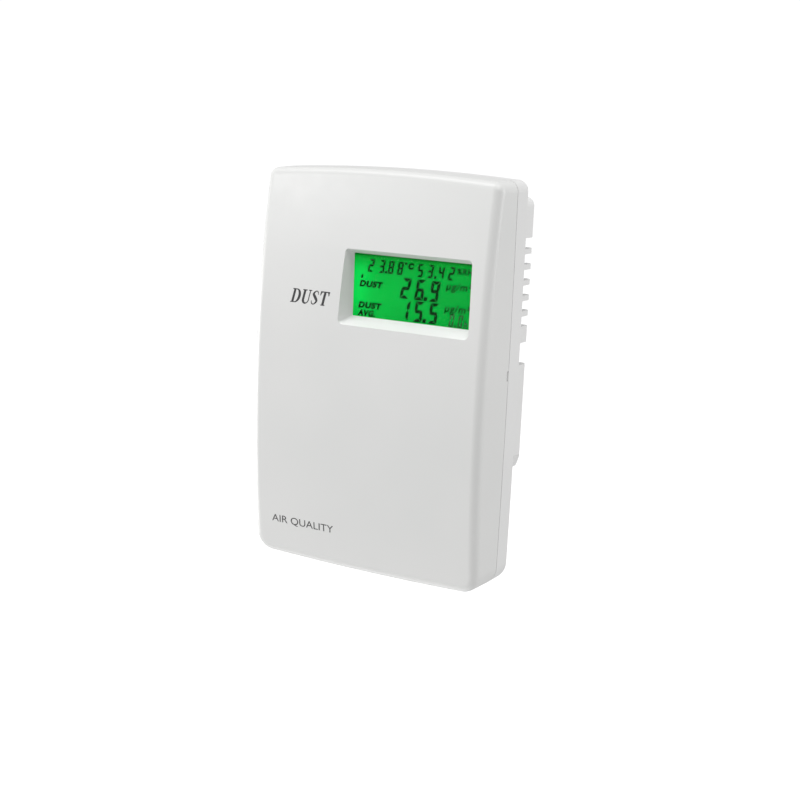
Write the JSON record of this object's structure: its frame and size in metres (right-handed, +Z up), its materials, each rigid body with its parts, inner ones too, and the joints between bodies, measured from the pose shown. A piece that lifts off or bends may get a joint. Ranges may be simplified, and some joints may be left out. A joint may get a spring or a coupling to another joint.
{
  "type": "air quality monitor",
  "caption": "Wall-mounted indoor air quality monitor with a bowed front cover, a backlit segment display, comb side vents, a laser dust sensor and a hook-on wall plate.",
  "frame": {"origin": "centre of the mounting face against the wall, at mid height of the case", "axes": "+X to the right seen from the room, -Y out of the wall towards the room, +Z up"},
  "size_m": [0.085, 0.0365, 0.13],
  "materials": {
    "case_plastic": "fine satin moulded plastic",
    "steel": "zinc plated sheet",
    "screw_steel": "plated",
    "circuit_board": "solder mask",
    "chip_black": "moulded epoxy",
    "can_metal": "drawn can",
    "ceramic": "fired ceramic",
    "connector_white": "moulded nylon",
    "connector_green": "moulded nylon",
    "pin_metal": "tin and gold plated",
    "button_black": "moulded plastic",
    "film": "polarising film",
    "glass": "clear",
    "light_guide": "acrylic",
    "led": "moulded lens",
    "strip_rubber": "layered elastomer",
    "frame_white": "moulded plastic",
    "sensor_shell": "moulded plastic",
    "fan_black": "moulded plastic",
    "laser_brass": "turned",
    "foam": "open cell foam",
    "wire_sheath": "extruded sheath"
  },
  "bodies": {
    "wall_plate": {"wall_plate": "steel"},
    "housing": {"rear_cover": "case_plastic", "main_board": "circuit_board", "board_screws": "screw_steel", "microcontroller": "chip_black", "driver_chips": "chip_black", "crystal": "can_metal", "electrolytic_capacitors": "can_metal", "power_inductor": "chip_black", "power_converter": "chip_black", "chip_resistors": "chip_black", "chip_capacitors": "ceramic", "button_bases": "can_metal", "front_polariser": "film", "front_glass": "glass", "rear_glass": "glass", "rear_polariser": "film", "light_guide": "light_guide", "backlight_board": "circuit_board", "backlight_leds": "led", "contact_strip": "strip_rubber", "lcd_frame": "frame_white", "sensor_case": "sensor_shell", "sensor_lid": "steel", "sensor_board": "circuit_board", "laser_module": "laser_brass", "air_duct": "fan_black", "photodiode": "chip_black", "fan_frame": "fan_black", "fan_motor": "can_metal", "inlet_seal": "foam", "sensor_strap": "steel", "strap_screws": "screw_steel", "sensor_socket": "connector_white", "board_sockets": "connector_white", "lead_plugs": "connector_white", "sensor_lead": "wire_sheath", "climate_lead": "wire_sheath", "climate_board": "circuit_board", "climate_chip": "chip_black", "terminal_board": "circuit_board", "terminal_board_screws": "screw_steel", "terminal_header": "connector_green", "terminal_pins": "pin_metal", "link_header": "chip_black", "link_pins": "pin_metal", "link_socket": "chip_black"},
    "front_cover": {"front_cover": "case_plastic"},
    "fan_rotor": {"fan_rotor": "fan_black"},
    "menu_button": {"menu_button": "button_black"},
    "zero_button": {"zero_button": "button_black"},
    "terminal_plug": {"terminal_plug": "connector_green", "wire_clamps": "pin_metal", "clamp_screws": "screw_steel"}
  },
  "joints": [
    {"name": "lift_off", "type": "slide", "parent": "wall_plate", "child": "housing", "axis": [0, 0, 1], "range_m": [0, 0.008]},
    {"name": "cover_pull", "type": "slide", "parent": "housing", "child": "front_cover", "axis": [0, -1, 0], "range_m": [0, 0.03]},
    {"name": "fan_spin", "type": "hinge", "parent": "housing", "child": "fan_rotor", "pos_m": [0.0224, -0.0145, 0.0336], "axis": [0, 1, 0], "continuous": true},
    {"name": "menu_press", "type": "slide", "parent": "housing", "child": "menu_button", "axis": [0, 1, 0], "range_m": [0, 0.0003], "stiffness_N_per_m": 5000},
    {"name": "zero_press", "type": "slide", "parent": "housing", "child": "zero_button", "axis": [0, 1, 0], "range_m": [0, 0.0003], "stiffness_N_per_m": 5000},
    {"name": "plug_pull", "type": "slide", "parent": "housing", "child": "terminal_plug", "axis": [0, 0, -1], "range_m": [0, 0.008]}
  ]
}
